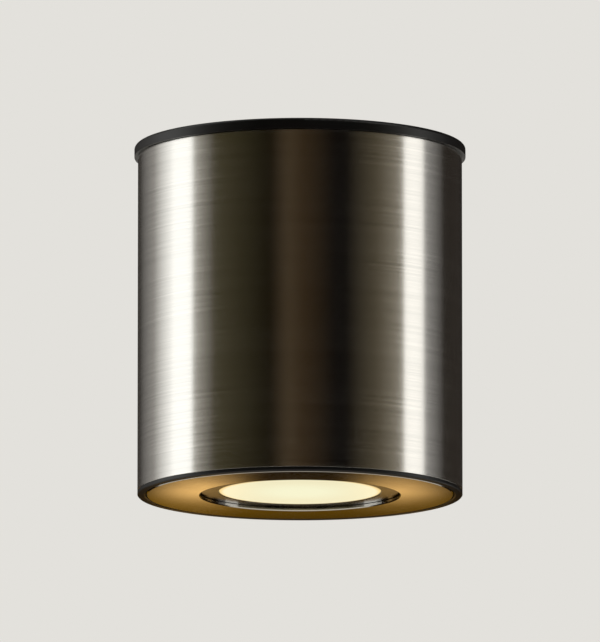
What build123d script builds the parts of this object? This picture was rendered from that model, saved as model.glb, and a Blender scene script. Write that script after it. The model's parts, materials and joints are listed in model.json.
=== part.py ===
from build123d import *
import math
import os

os.makedirs("parts", exist_ok=True)

# A tube wall light that shines downwards, in millimetres. +Z is up. The wall is the plane y = 0, and
# the room is on the side of -Y. The origin is the middle of the two wall screws, on the wall.
# Inside the light, sketch coordinates are measured from the light's own upright axis.

# ---- Driving dimensions ----

# The tube and what closes it
tube_radius = 45.0
tube_wall = 1.2
tube_height = 94.0
wall_gap = 8.0  # between the wall and the tube, at the nearest line
cap_overhang = 1.0
cap_thickness = 3.0
cap_edge = 0.9  # rounding of the cap's top edge
bezel_flange = 1.0  # height of the black edge under the tube
spigot_gap = 0.15  # round the spigots of the cap and the bezel, inside the tube
cap_spigot_depth = 9.0
cap_spigot_wall = 2.75
bezel_depth = 12.0  # how far the bezel reaches up into the tube
seal_section = 1.4  # thickness of the two tube seals
seal_groove_width = 2.0
seal_groove_depth = 1.3
seal_groove_offset = 4.0  # from the tube's end to the groove
edge_break = 0.15  # on cut steel edges
soft_edge = 0.25  # on the edges of the face

# The face ring, the lens and its holder
lens_radius = 22.4
opening_radius = 27.7  # the hole in the face ring
face_ring_radius = 42.5
face_ring_thickness = 0.9
thread_radius = 34.8  # bore of the bezel that takes the threaded collar
thread_gap = 1.0  # space left for the thread, on the radius
collar_wall = 3.3
collar_height = 8.1
collar_edge = 0.6
free_gap = 0.3  # between pieces that move past each other
lip_width = 2.3  # of the lip that the glass lies on
lip_recess = 1.0  # of the lip, behind the face
lip_edge = 0.15
glass_recess = 1.05  # of the glass, behind the face
glass_boss = 1.0
glass_flange = 2.0
glass_edge = 0.5
glass_gap = 0.1  # round the glass in its holder
lens_seal_thickness = 1.0
clip_groove_height = 1.0
clip_groove_depth = 1.0
clip_thickness = 0.8
clip_opening = 9.0
holder_flange_height = 2.3
holder_wall_radius = 28.4
face_seal_thickness = 1.7
shoulder_radius = 26.0  # opening of the bezel that the lamp goes through
shoulder_thickness = 3.4

# Screws: radius of the shank, radius of the head, height of the head, radius of the hex socket
tie_screw = (1.5, 2.8, 2.2, 1.4)
small_screw = (1.5, 2.8, 2.2, 1.4)
saddle_screw = (2.0, 3.5, 2.2, 1.6)
side_screw = (2.0, 3.6, 2.2, 1.3)
block_screw = (1.2, 1.9, 1.4, 0.8)
socket_share = 0.6  # of the head's height
tapped_fit = 0.05  # between a screw's shank and its tapped hole, on the radius
clear_fit = 0.2  # between a screw's shank and a plain hole, on the radius
tie_circle = 39.2
tie_angles = (30, 150, 270)
tie_engagement = 8.0
tie_hole_depth = 10.0
tie_head_recess = 0.3
boss_radius = 3.1
boss_bottom = 26.0

# The lamp: a reflector lamp 50 mm across with two twist-lock pins 10 mm apart
lamp_radius = 25.0
lamp_face = -38.0
lamp_rim_height = 4.0
lamp_rim_wall = 2.4
lamp_rim_edge = 0.8
lamp_waist = 2.0  # height where the housing meets the base
lamp_top = 11.0
lamp_shell = 1.5
lamp_body = ((24.6, 0.0), (24.6, 3.0), (22.0, 12.0), (16.5, 24.0), (12.5, 32.0), (11.5, 36.0))
base_radius = 8.0
base_collar_radius = 10.5
base_collar_height = 4.0
optic_recess = 0.8
optic_thickness = 2.0
pin_circle = 5.0
pin_shank = 1.5
pin_head = 2.4
pin_head_edge = 0.8
pin_length = 7.0
pin_head_height = 3.0
lamp_twist = 20  # degrees between locked and free

# The lampholder and its bracket
holder_radius = 13.0
holder_height = 15.7
holder_edge = 1.0
contact_thickness = 0.7
holder_screw_offset = 9.0
holder_thread = 2.5  # how far its screws go into the front half
bracket_thickness = 1.2
bracket_length = 76.0
bracket_width = 28.0
bracket_corner = 4.0
tongue_width = 32.0
tongue_corner = 2.0
post_offset = 31.0
post_radius = 4.0
post_screw_length = 11.0
lead_hole = 1.6

# The terminal block, behind the lamp's axis and over the bracket
block_length = 26.0
block_width = 15.0
block_height = 12.8
block_front = 15.0  # from the lamp's axis
block_corner = 1.0
way_pitch = 8.0
way_height = 6.3  # of the wires, over the bracket
sleeve_radius = 2.35
sleeve_bore = 1.5
terminal_screw_radius = 1.4
terminal_screw_length = 3.8
terminal_well = 1.7
terminal_row_offset = 4.0
lead_radius = 1.0
lead_entry = 3.0  # how far a wire goes into the block

# The earth connection on the bracket
earth_x = 21.0
earth_y = -9.0
tag_radius = 3.5
tag_thickness = 0.8
tag_neck_width = 2.6
tag_barrel_x = 15.0
tag_barrel_length = 2.4
tag_barrel_wall = 0.45
earth_screw_length = 6.0

# The back: clamp block, saddle, wall plate, gasket and grommet
saddle_width = 56.0
saddle_height = 76.0
saddle_corner = 8.0
saddle_wall = 3.0
web_thickness = 2.5
saddle_boss_radius = 4.0
saddle_boss_depth = 3.2  # of the bosses' ends, from the wall
saddle_screw_x = 13.0
saddle_screw_z = 24.0
gasket_thickness = 1.5
plate_width = 44.0
plate_height = 64.0
plate_corner = 4.0
plate_thickness = 2.0
plate_cable_hole = 12.0
tab_depth = 9.3
tab_height = 16.0
side_screw_depth = 5.8
wall_screw_spacing = 48.0
wall_screw_hole = 2.6
clamp_half_width = 20.0
clamp_half_height = 32.0
clamp_flat = 38.0  # from the lamp's axis to the flat that the screw heads lie on
cable_radius = 4.0
grommet_neck = 6.0
grommet_flange = 7.8
grommet_flange_thickness = 1.5
grommet_fit = 0.1

# ---- Places worked out from them ----

axis_y = -(tube_radius + wall_gap)
tube_bore = tube_radius - tube_wall
tube_top = tube_height / 2
tube_bottom = -tube_height / 2
spigot_radius = tube_bore - spigot_gap
groove_radius = spigot_radius - seal_groove_depth
cap_top = tube_top + cap_thickness
face_level = tube_bottom - bezel_flange
ring_back = face_level + face_ring_thickness
recess_floor = ring_back + free_gap
recess_radius = face_ring_radius + free_gap
tie_seat = recess_floor + tie_head_recess + tie_screw[2]
bezel_top = tube_bottom + bezel_depth
shoulder_level = bezel_top - shoulder_thickness
collar_radius = thread_radius - thread_gap
collar_bore = collar_radius - collar_wall

lip_level = face_level + lip_recess
glass_level = face_level + glass_recess
glass_seat = glass_level + glass_boss
glass_flange_radius = lens_radius + lip_width
glass_top = glass_seat + glass_flange
clip_level = glass_top + lens_seal_thickness
clip_groove_radius = glass_flange_radius + clip_groove_depth
lens_well_radius = glass_flange_radius + glass_gap
holder_top = shoulder_level - free_gap - face_seal_thickness
nose_radius = opening_radius - free_gap
flange_level = ring_back + free_gap
flange_radius = collar_bore - free_gap

rim_top = lamp_face + lamp_rim_height
optic_radius = lamp_radius - lamp_rim_wall
pin_top = lamp_top + pin_length
holder_face = lamp_top + free_gap
slot_step = pin_top - pin_head_height - free_gap
contact_level = pin_top + free_gap
contact_top = contact_level + contact_thickness
bracket_level = holder_face + holder_height
bracket_top = bracket_level + bracket_thickness
block_top = bracket_top + block_height
block_middle = block_front + block_width / 2
way_level = bracket_top + way_height
tag_level = bracket_top + tag_thickness + lead_radius + tapped_fit
web_depth = wall_gap - web_thickness
clamp_face_depth = -axis_y - clamp_flat
tab_middle = (plate_width - plate_thickness) / 2

tie_points = [
    (tie_circle * math.cos(math.radians(a)), tie_circle * math.sin(math.radians(a)))
    for a in tie_angles
]
post_points = [(-post_offset, 0), (post_offset, 0)]
lead_points = [(-pin_circle, 0), (pin_circle, 0)]
holder_screw_points = [(0, -holder_screw_offset), (0, holder_screw_offset)]
block_screw_points = [(-way_pitch / 2, block_middle), (way_pitch / 2, block_middle)]
terminal_points = [
    (x, block_middle + y)
    for x in (-way_pitch, 0, way_pitch)
    for y in (-terminal_row_offset, terminal_row_offset)
]
way_points = [(-way_pitch, 0), (0, 0), (way_pitch, 0)]
saddle_screw_points = [
    (x, z) for x in (-saddle_screw_x, saddle_screw_x) for z in (-saddle_screw_z, saddle_screw_z)
]
wall_screw_points = [(0, -wall_screw_spacing / 2), (0, wall_screw_spacing / 2)]

light_axis = Axis((0, axis_y, 0), (0, 0, 1))
turning_plane = Plane(origin=(0, axis_y, 0), x_dir=(1, 0, 0), z_dir=(0, -1, 0))
way_plane = Plane(
    origin=(0, axis_y + block_front, way_level), x_dir=(1, 0, 0), z_dir=(0, -1, 0)
)
side_plane = Plane(origin=(0, -side_screw_depth, 0), z_dir=(1, 0, 0))


def level(height):
    """The level plane at this height, with its middle on the light's axis."""
    return Plane(origin=(0, axis_y, height))


def facing(depth):
    """The upright plane this far in front of the wall, facing the room."""
    return Plane.XZ.offset(depth)


def section(*points):
    """A face beside the light's axis, from points of radius and height."""
    with BuildSketch(turning_plane, mode=Mode.PRIVATE) as cut:
        with BuildLine():
            Polyline(*points, close=True)
        make_face()
    return cut.sketch


def ring_section(inner, outer, low, high):
    """A square-edged ring's face beside the light's axis."""
    return section((inner, low), (outer, low), (outer, high), (inner, high))


def rounds(plane, places, radius, length, mode=Mode.ADD):
    """Add round bars to the piece that is being made, or cut round holes into it."""
    with BuildSketch(plane, mode=Mode.PRIVATE) as outline:
        with Locations(*places):
            Circle(radius)
    extrude(outline.sketch, amount=length, mode=mode)


def screws(seat, places, size, length):
    """A group of screws: heads in front of the seat plane, shanks of this length behind it."""
    shank, head, head_height, socket = size
    with BuildPart() as group:
        rounds(seat, places, shank, -length)
        rounds(seat, places, head, head_height)
        with BuildSketch(seat.offset(head_height)):
            with Locations(*places):
                RegularPolygon(socket, 6)
        extrude(amount=-head_height * socket_share, mode=Mode.SUBTRACT)
    return group.part


def twist_slots(half_width):
    """Two curved slots, in which the lamp's pins turn from locked back to free."""
    with BuildSketch(mode=Mode.PRIVATE) as slots:
        for locked in (0, 180):
            track = CenterArc((0, 0), pin_circle, locked - lamp_twist, lamp_twist)
            SlotArc(track, 2 * half_width)
    return slots.sketch


def save(part, name):
    """Name a finished piece and write it out."""
    part.label = name
    export_step(part, f"parts/{name}.step")


# ---- The tube and its two ends ----

with BuildPart() as sleeve_tube:
    with BuildSketch(level(tube_bottom)):
        Circle(tube_radius)
        Circle(tube_bore, mode=Mode.SUBTRACT)
    extrude(amount=tube_height)
    rims = sleeve_tube.edges().filter_by(GeomType.CIRCLE)
    chamfer(rims, edge_break)
    rounds(facing(0), [(0, 0)], grommet_neck + grommet_fit, -axis_y, Mode.SUBTRACT)
    rounds(facing(0), saddle_screw_points, saddle_screw[0] + clear_fit, -axis_y, Mode.SUBTRACT)
save(sleeve_tube.part, "sleeve_tube")

with BuildPart() as top_cap:
    cap_groove_top = tube_top - seal_groove_offset
    cap_groove_low = cap_groove_top - seal_groove_width
    revolve(
        section(
            (0, tube_top),
            (spigot_radius - cap_spigot_wall, tube_top),
            (spigot_radius - cap_spigot_wall, tube_top - cap_spigot_depth),
            (spigot_radius, tube_top - cap_spigot_depth),
            (spigot_radius, cap_groove_low),
            (groove_radius, cap_groove_low),
            (groove_radius, cap_groove_top),
            (spigot_radius, cap_groove_top),
            (spigot_radius, tube_top),
            (tube_radius + cap_overhang, tube_top),
            (tube_radius + cap_overhang, cap_top),
            (0, cap_top),
        ),
        axis=light_axis,
    )
    fillet(top_cap.edges().filter_by(GeomType.CIRCLE).group_by(Axis.Z)[-1], cap_edge)
    rounds(level(boss_bottom), tie_points, boss_radius, tube_top - boss_bottom)
    rounds(level(bracket_top), post_points, post_radius, tube_top - bracket_top)
    tie_hole = tie_screw[0] + tapped_fit
    post_hole = small_screw[0] + tapped_fit
    rounds(level(boss_bottom), tie_points, tie_hole, tie_hole_depth, Mode.SUBTRACT)
    rounds(level(bracket_top), post_points, post_hole, post_screw_length, Mode.SUBTRACT)
save(top_cap.part, "top_cap")

with BuildPart() as bottom_bezel:
    bezel_groove_low = tube_bottom + seal_groove_offset
    bezel_groove_top = bezel_groove_low + seal_groove_width
    revolve(
        section(
            (recess_radius, face_level),
            (tube_radius, face_level),
            (tube_radius, tube_bottom),
            (spigot_radius, tube_bottom),
            (spigot_radius, bezel_groove_low),
            (groove_radius, bezel_groove_low),
            (groove_radius, bezel_groove_top),
            (spigot_radius, bezel_groove_top),
            (spigot_radius, bezel_top),
            (shoulder_radius, bezel_top),
            (shoulder_radius, shoulder_level),
            (thread_radius, shoulder_level),
            (thread_radius, recess_floor),
            (recess_radius, recess_floor),
        ),
        axis=light_axis,
    )
    chamfer(bottom_bezel.edges().filter_by(GeomType.CIRCLE).group_by(Axis.Z)[0], soft_edge)
    tie_hole = tie_screw[0] + clear_fit
    head_room = tie_screw[1] + free_gap
    rounds(level(recess_floor), tie_points, tie_hole, bezel_depth, Mode.SUBTRACT)
    rounds(level(recess_floor), tie_points, head_room, tie_seat - recess_floor, Mode.SUBTRACT)
save(bottom_bezel.part, "bottom_bezel")

for seal_name, groove_low in (("cap_o_ring", cap_groove_low), ("bezel_o_ring", bezel_groove_low)):
    with BuildPart() as o_ring:
        with BuildSketch(turning_plane):
            with Locations(((tube_bore + groove_radius) / 2, groove_low + seal_groove_width / 2)):
                Circle(seal_section / 2)
        revolve(axis=light_axis)
    save(o_ring.part, seal_name)

tie_length = boss_bottom + tie_engagement - tie_seat
tie_plane = Plane(origin=(0, axis_y, tie_seat), x_dir=(1, 0, 0), z_dir=(0, 0, -1))
tie_screws = screws(tie_plane, [(x, -y) for x, y in tie_points], tie_screw, tie_length)
save(tie_screws, "tie_screws")

# ---- The face ring and its threaded collar ----

with BuildPart() as trim_ring:
    revolve(
        ring_section(opening_radius, face_ring_radius, face_level, ring_back), axis=light_axis
    )
    chamfer(trim_ring.edges().filter_by(GeomType.CIRCLE).group_by(Axis.Z)[0], soft_edge)
save(trim_ring.part, "trim_ring")

with BuildPart() as ring_collar:
    revolve(
        ring_section(collar_bore, collar_radius, ring_back, ring_back + collar_height),
        axis=light_axis,
    )
    chamfer(ring_collar.edges().filter_by(GeomType.CIRCLE).group_by(Axis.Z)[-1], collar_edge)
save(ring_collar.part, "ring_collar")

# ---- The lens, in a holder that comes down with the face ring ----

with BuildPart() as lens_holder:
    lip_radius = lens_radius + glass_gap
    revolve(
        section(
            (lip_radius, lip_level),
            (nose_radius, lip_level),
            (nose_radius, flange_level),
            (flange_radius, flange_level),
            (flange_radius, flange_level + holder_flange_height),
            (holder_wall_radius, flange_level + holder_flange_height),
            (holder_wall_radius, holder_top),
            (lens_well_radius, holder_top),
            (lens_well_radius, clip_level + clip_groove_height),
            (clip_groove_radius, clip_level + clip_groove_height),
            (clip_groove_radius, clip_level),
            (lens_well_radius, clip_level),
            (lens_well_radius, glass_seat),
            (lip_radius, glass_seat),
        ),
        axis=light_axis,
    )
    fillet(lens_holder.edges().filter_by(GeomType.CIRCLE).group_by(Axis.Z)[0], lip_edge)
save(lens_holder.part, "lens_holder")

with BuildPart() as lens_glass:
    revolve(
        section(
            (0, glass_level),
            (lens_radius, glass_level),
            (lens_radius, glass_seat),
            (glass_flange_radius, glass_seat),
            (glass_flange_radius, glass_top),
            (0, glass_top),
        ),
        axis=light_axis,
    )
    fillet(lens_glass.edges().filter_by(GeomType.CIRCLE).group_by(Axis.Z)[0], glass_edge)
save(lens_glass.part, "lens_glass")

with BuildPart() as lens_seal:
    revolve(
        ring_section(lens_radius, glass_flange_radius, glass_top, clip_level), axis=light_axis
    )
save(lens_seal.part, "lens_seal")

with BuildPart() as lens_clip:
    with BuildSketch(level(clip_level)):
        Circle(clip_groove_radius - glass_gap)
        Circle(lens_radius + glass_edge, mode=Mode.SUBTRACT)
        with Locations((0, glass_flange_radius)):
            Rectangle(clip_opening, clip_opening, mode=Mode.SUBTRACT)
    extrude(amount=clip_thickness)
save(lens_clip.part, "lens_clip")

with BuildPart() as face_seal:
    revolve(
        ring_section(
            shoulder_radius, holder_wall_radius, holder_top, holder_top + face_seal_thickness
        ),
        axis=light_axis,
    )
save(face_seal.part, "face_seal")

# ---- The lamp ----

with BuildPart() as lamp_housing:
    outside = [(radius, rim_top + height) for radius, height in lamp_body]
    inside = [(radius - lamp_shell, height) for radius, height in outside[:-1]]
    roof = lamp_waist - lamp_shell
    revolve(
        section(
            *outside, (0, lamp_waist), (0, roof), (outside[-1][0] - lamp_shell, roof), *inside[::-1]
        ),
        axis=light_axis,
    )
save(lamp_housing.part, "lamp_housing")

with BuildPart() as lamp_front_ring:
    revolve(ring_section(optic_radius, lamp_radius, lamp_face, rim_top), axis=light_axis)
    ring_edges = lamp_front_ring.edges().filter_by(GeomType.CIRCLE).group_by(Axis.Z)[0]
    fillet(ring_edges, lamp_rim_edge)
save(lamp_front_ring.part, "lamp_front_ring")

with BuildPart() as lamp_optic:
    optic_level = lamp_face + optic_recess
    revolve(
        ring_section(0, optic_radius - tapped_fit, optic_level, optic_level + optic_thickness),
        axis=light_axis,
    )
save(lamp_optic.part, "lamp_optic")

with BuildPart() as lamp_base:
    base_shoulder = lamp_waist + base_collar_height
    revolve(
        section(
            (0, lamp_waist),
            (base_collar_radius, lamp_waist),
            (base_collar_radius, base_shoulder),
            (base_radius, base_shoulder),
            (base_radius, lamp_top),
            (0, lamp_top),
        ),
        axis=light_axis,
    )
save(lamp_base.part, "lamp_base")

with BuildPart() as lamp_pins:
    rounds(level(lamp_top), lead_points, pin_shank, pin_length)
    rounds(level(pin_top - pin_head_height), lead_points, pin_head, pin_head_height)
    pin_edges = lamp_pins.edges().filter_by(GeomType.CIRCLE).group_by(Axis.Z)[-1]
    fillet(pin_edges, pin_head_edge)
save(lamp_pins.part, "lamp_pins")

# ---- The lampholder, its contacts and its bracket ----

# The front half holds the keyholes, behind which the pins' heads turn in the back half.
with BuildPart() as lampholder:
    rounds(level(holder_face), [(0, 0)], holder_radius, slot_step - holder_face)
    chamfer(lampholder.edges().filter_by(GeomType.CIRCLE).group_by(Axis.Z)[0], holder_edge)
    with BuildSketch(level(holder_face)):
        add(twist_slots(pin_shank + free_gap))
        with PolarLocations(pin_circle, 2, start_angle=-lamp_twist):
            Circle(pin_head + free_gap)
    extrude(amount=slot_step - holder_face, mode=Mode.SUBTRACT)
    screw_hole = small_screw[0] + tapped_fit
    rounds(level(slot_step), holder_screw_points, screw_hole, -holder_thread, Mode.SUBTRACT)
save(lampholder.part, "lampholder")

with BuildPart() as lampholder_back:
    back_height = bracket_level - slot_step
    rounds(level(slot_step), [(0, 0)], holder_radius, back_height)
    chamfer(lampholder_back.edges().filter_by(GeomType.CIRCLE).group_by(Axis.Z)[-1], holder_edge)
    with BuildSketch(level(slot_step)):
        add(twist_slots(pin_head + free_gap))
    extrude(amount=back_height, mode=Mode.SUBTRACT)
    screw_hole = small_screw[0] + clear_fit
    rounds(level(slot_step), holder_screw_points, screw_hole, back_height, Mode.SUBTRACT)
save(lampholder_back.part, "lampholder_back")

# Each contact is a leaf pressed into its chamber in the back half.
with BuildPart() as holder_contacts:
    with BuildSketch(level(contact_level)):
        add(twist_slots(pin_head + free_gap))
    extrude(amount=contact_thickness)
save(holder_contacts.part, "holder_contacts")

with BuildPart() as lampholder_bracket:
    tongue_reach = block_front + block_width + block_corner
    with BuildSketch(level(bracket_level)):
        RectangleRounded(bracket_length, bracket_width, bracket_corner)
        with Locations((0, tongue_reach / 2)):
            RectangleRounded(tongue_width, tongue_reach, tongue_corner)
        with Locations(*holder_screw_points, *post_points):
            Circle(small_screw[0] + clear_fit, mode=Mode.SUBTRACT)
        with Locations(*lead_points):
            Circle(lead_hole, mode=Mode.SUBTRACT)
        with Locations((earth_x, earth_y)):
            Circle(small_screw[0] + tapped_fit, mode=Mode.SUBTRACT)
        with Locations(*block_screw_points):
            Circle(block_screw[0] + tapped_fit, mode=Mode.SUBTRACT)
    extrude(amount=bracket_thickness)
save(lampholder_bracket.part, "lampholder_bracket")

holder_screw_length = bracket_top - slot_step + holder_thread
holder_screws = screws(level(bracket_top), holder_screw_points, small_screw, holder_screw_length)
save(holder_screws, "holder_screws")

under_bracket = Plane(origin=(0, axis_y, bracket_level), x_dir=(1, 0, 0), z_dir=(0, 0, -1))
bracket_screws = screws(under_bracket, post_points, small_screw, post_screw_length)
save(bracket_screws, "bracket_screws")

# ---- The terminal block and the wires ----

with BuildPart() as terminal_block:
    with BuildSketch(level(bracket_top)):
        with Locations((0, block_middle)):
            RectangleRounded(block_length, block_width, block_corner)
    extrude(amount=block_height)
    rounds(way_plane, way_points, sleeve_radius + tapped_fit, -block_width, Mode.SUBTRACT)
    rounds(level(way_level), terminal_points, terminal_well, block_height, Mode.SUBTRACT)
    block_hole = block_screw[0] + tapped_fit
    rounds(level(bracket_top), block_screw_points, block_hole, block_height, Mode.SUBTRACT)
save(terminal_block.part, "terminal_block")

with BuildPart() as terminal_sleeves:
    rounds(way_plane, way_points, sleeve_radius, -block_width)
    rounds(way_plane, way_points, sleeve_bore, -block_width, Mode.SUBTRACT)
    screw_hole = terminal_screw_radius + tapped_fit
    rounds(level(way_level), terminal_points, screw_hole, 2 * sleeve_radius, Mode.SUBTRACT)
save(terminal_sleeves.part, "terminal_sleeves")

with BuildPart() as terminal_screws:
    screw_foot = way_level + lead_radius + clear_fit
    rounds(level(screw_foot), terminal_points, terminal_screw_radius, terminal_screw_length)
save(terminal_screws.part, "terminal_screws")

block_screw_length = block_height + bracket_thickness
terminal_block_screws = screws(
    level(block_top), block_screw_points, block_screw, block_screw_length
)
save(terminal_block_screws, "terminal_block_screws")

# Each wire rises out of the lampholder, leans out to its way and runs level into the block.
lead_bends = [5.0, 10.0]
lead_end = axis_y + block_front + lead_entry
for lead_name, side in (("lead_live", 1), ("lead_neutral", -1)):
    with BuildPart() as lead:
        with BuildLine() as route:
            FilletPolyline(
                (side * pin_circle, axis_y, contact_top),
                (side * pin_circle, axis_y, way_level),
                (side * way_pitch, axis_y + 8.0, way_level),
                (side * way_pitch, lead_end, way_level),
                radius=lead_bends,
            )
        with BuildSketch(Plane(origin=route.line @ 0, z_dir=route.line % 0)):
            Circle(lead_radius)
        sweep(path=route.line)
    save(lead.part, lead_name)

# The earth wire passes between them, over a screw head, and down to its tag.
with BuildPart() as earth_lead:
    with BuildLine() as earth_route:
        FilletPolyline(
            (0, lead_end, way_level),
            (0, axis_y - 2.0, way_level),
            (4.5, axis_y + earth_y, way_level - 2.0),
            (11.0, axis_y + earth_y, tag_level),
            (tag_barrel_x + lead_radius, axis_y + earth_y, tag_level),
            radius=[6.0, 4.0, 6.0],
        )
    with BuildSketch(Plane(origin=earth_route.line @ 0, z_dir=earth_route.line % 0)):
        Circle(lead_radius)
    sweep(path=earth_route.line)
save(earth_lead.part, "earth_lead")

with BuildPart() as earth_tag:
    neck_length = earth_x - tag_barrel_x - tag_barrel_length / 2
    with BuildSketch(level(bracket_top)):
        with Locations((earth_x, earth_y)):
            Circle(tag_radius)
        with Locations((earth_x - neck_length / 2, earth_y)):
            Rectangle(neck_length, tag_neck_width)
        with Locations((earth_x, earth_y)):
            Circle(small_screw[0] + clear_fit, mode=Mode.SUBTRACT)
    extrude(amount=tag_thickness)
    barrel_bore = lead_radius + tapped_fit
    with BuildSketch(
        Plane(origin=(tag_barrel_x, axis_y + earth_y, tag_level), z_dir=(1, 0, 0))
    ):
        Circle(barrel_bore + tag_barrel_wall)
        Circle(barrel_bore, mode=Mode.SUBTRACT)
    extrude(amount=tag_barrel_length)
save(earth_tag.part, "earth_tag")

earth_screw = screws(
    level(bracket_top + tag_thickness), [(earth_x, earth_y)], small_screw, earth_screw_length
)
save(earth_screw, "earth_screw")

# ---- The back: clamp block, saddle, grommet, wall plate and gasket ----

with BuildPart() as clamp_block:
    with BuildSketch(level(-clamp_half_height)):
        Circle(tube_bore - tapped_fit)
        with Locations((0, clamp_flat + clamp_half_width)):
            Rectangle(2 * clamp_half_width, 2 * clamp_half_width, mode=Mode.INTERSECT)
    extrude(amount=2 * clamp_half_height)
    rounds(facing(0), [(0, 0)], grommet_neck + grommet_fit, -axis_y, Mode.SUBTRACT)
    rounds(facing(0), saddle_screw_points, saddle_screw[0] + clear_fit, -axis_y, Mode.SUBTRACT)
save(clamp_block.part, "clamp_block")

# The saddle is hollow towards the wall, down to a web that follows the tube.
with BuildPart() as pocket:
    with BuildSketch(facing(gasket_thickness)):
        RectangleRounded(
            saddle_width - 2 * saddle_wall,
            saddle_height - 2 * saddle_wall,
            saddle_corner - saddle_wall,
        )
    extrude(amount=tube_radius)
    rounds(
        level(-saddle_height),
        [(0, 0)],
        tube_radius + web_thickness,
        2 * saddle_height,
        Mode.SUBTRACT,
    )

with BuildPart() as saddle:
    with BuildSketch(facing(gasket_thickness)):
        RectangleRounded(saddle_width, saddle_height, saddle_corner)
    extrude(amount=tube_radius / 2)
    seat_radius = tube_radius + tapped_fit
    rounds(level(-saddle_height), [(0, 0)], seat_radius, 2 * saddle_height, Mode.SUBTRACT)
    add(pocket.part, mode=Mode.SUBTRACT)
    with BuildSketch(facing(saddle_boss_depth)):
        with Locations(*saddle_screw_points):
            Circle(saddle_boss_radius)
    extrude(until=Until.NEXT)
    boss_hole = saddle_screw[0] + tapped_fit
    rounds(facing(0), saddle_screw_points, boss_hole, tube_radius, Mode.SUBTRACT)
    rounds(facing(0), [(0, 0)], grommet_neck + grommet_fit, tube_radius, Mode.SUBTRACT)
    with BuildSketch(side_plane):
        Circle(side_screw[0] + clear_fit)
    extrude(amount=saddle_width, both=True, mode=Mode.SUBTRACT)
save(saddle.part, "saddle")

saddle_screw_length = clamp_face_depth - saddle_boss_depth
saddle_screws = screws(
    facing(clamp_face_depth), saddle_screw_points, saddle_screw, saddle_screw_length
)
save(saddle_screws, "saddle_screws")

with BuildPart() as cable_grommet:
    grommet_back = web_depth - grommet_flange_thickness
    grommet_front = clamp_face_depth + grommet_flange_thickness
    with BuildSketch(Plane(origin=(0, 0, 0), x_dir=(1, 0, 0), z_dir=(0, 0, -1))):
        with BuildLine():
            Polyline(
                (cable_radius, grommet_back),
                (grommet_flange, grommet_back),
                (grommet_flange, web_depth),
                (grommet_neck, web_depth),
                (grommet_neck, clamp_face_depth),
                (grommet_flange, clamp_face_depth),
                (grommet_flange, grommet_front),
                (cable_radius, grommet_front),
                close=True,
            )
        make_face()
    revolve(axis=Axis((0, 0, 0), (0, -1, 0)))
save(cable_grommet.part, "cable_grommet")

with BuildPart() as wall_plate:
    with BuildSketch(facing(0)):
        RectangleRounded(plate_width, plate_height, plate_corner)
        Circle(plate_cable_hole, mode=Mode.SUBTRACT)
        with Locations(*wall_screw_points):
            Circle(wall_screw_hole, mode=Mode.SUBTRACT)
    extrude(amount=plate_thickness)
    with BuildSketch(facing(plate_thickness)):
        with Locations((-tab_middle, 0), (tab_middle, 0)):
            Rectangle(plate_thickness, tab_height)
    extrude(amount=tab_depth - plate_thickness)
    with BuildSketch(side_plane):
        Circle(side_screw[0] + tapped_fit)
    extrude(amount=saddle_width, both=True, mode=Mode.SUBTRACT)
save(wall_plate.part, "wall_plate")

with BuildPart() as wall_gasket:
    with BuildSketch(facing(0)):
        RectangleRounded(saddle_width, saddle_height, saddle_corner)
        RectangleRounded(
            saddle_width - 2 * saddle_wall,
            saddle_height - 2 * saddle_wall,
            saddle_corner - saddle_wall,
            mode=Mode.SUBTRACT,
        )
    extrude(amount=gasket_thickness)
save(wall_gasket.part, "wall_gasket")

side_screw_length = saddle_width / 2 - tab_middle + plate_thickness
left_seat = Plane(origin=(-saddle_width / 2, -side_screw_depth, 0), z_dir=(-1, 0, 0))
right_seat = Plane(origin=(saddle_width / 2, -side_screw_depth, 0), z_dir=(1, 0, 0))
with BuildPart() as side_screws:
    add(screws(left_seat, [(0, 0)], side_screw, side_screw_length))
    add(screws(right_seat, [(0, 0)], side_screw, side_screw_length))
save(side_screws.part, "side_screws")
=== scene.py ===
import json
import math

import bpy
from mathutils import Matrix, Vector


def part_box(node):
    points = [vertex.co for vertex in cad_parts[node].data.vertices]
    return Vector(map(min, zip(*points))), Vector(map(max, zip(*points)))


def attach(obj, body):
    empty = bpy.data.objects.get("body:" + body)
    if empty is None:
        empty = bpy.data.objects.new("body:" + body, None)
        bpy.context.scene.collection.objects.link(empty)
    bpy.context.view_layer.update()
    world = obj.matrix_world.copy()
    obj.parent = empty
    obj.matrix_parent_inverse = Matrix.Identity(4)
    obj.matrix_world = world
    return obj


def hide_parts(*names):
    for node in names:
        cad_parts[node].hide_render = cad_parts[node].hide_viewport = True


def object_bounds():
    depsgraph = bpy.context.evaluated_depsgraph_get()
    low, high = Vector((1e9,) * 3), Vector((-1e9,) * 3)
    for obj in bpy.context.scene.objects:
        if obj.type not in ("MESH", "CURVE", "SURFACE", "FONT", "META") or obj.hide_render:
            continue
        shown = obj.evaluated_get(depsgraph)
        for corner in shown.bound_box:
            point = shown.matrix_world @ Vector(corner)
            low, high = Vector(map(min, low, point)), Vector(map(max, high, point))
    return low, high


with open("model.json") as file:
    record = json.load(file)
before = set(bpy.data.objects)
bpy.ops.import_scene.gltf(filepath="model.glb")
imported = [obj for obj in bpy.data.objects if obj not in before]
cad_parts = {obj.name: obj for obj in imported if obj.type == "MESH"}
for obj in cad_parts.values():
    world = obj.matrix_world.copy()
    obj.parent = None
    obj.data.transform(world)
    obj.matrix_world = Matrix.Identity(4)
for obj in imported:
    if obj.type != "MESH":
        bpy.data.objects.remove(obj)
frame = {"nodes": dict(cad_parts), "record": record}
cad_low, cad_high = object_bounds()

# A tube wall light in brushed stainless steel that shines down, seen from a little below, with its
# lamp alight. Lengths are in metres. Its back is the plane y = 0, and its front faces -Y.

MM = 0.001

# ---- Places, worked out from the frame ----

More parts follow.
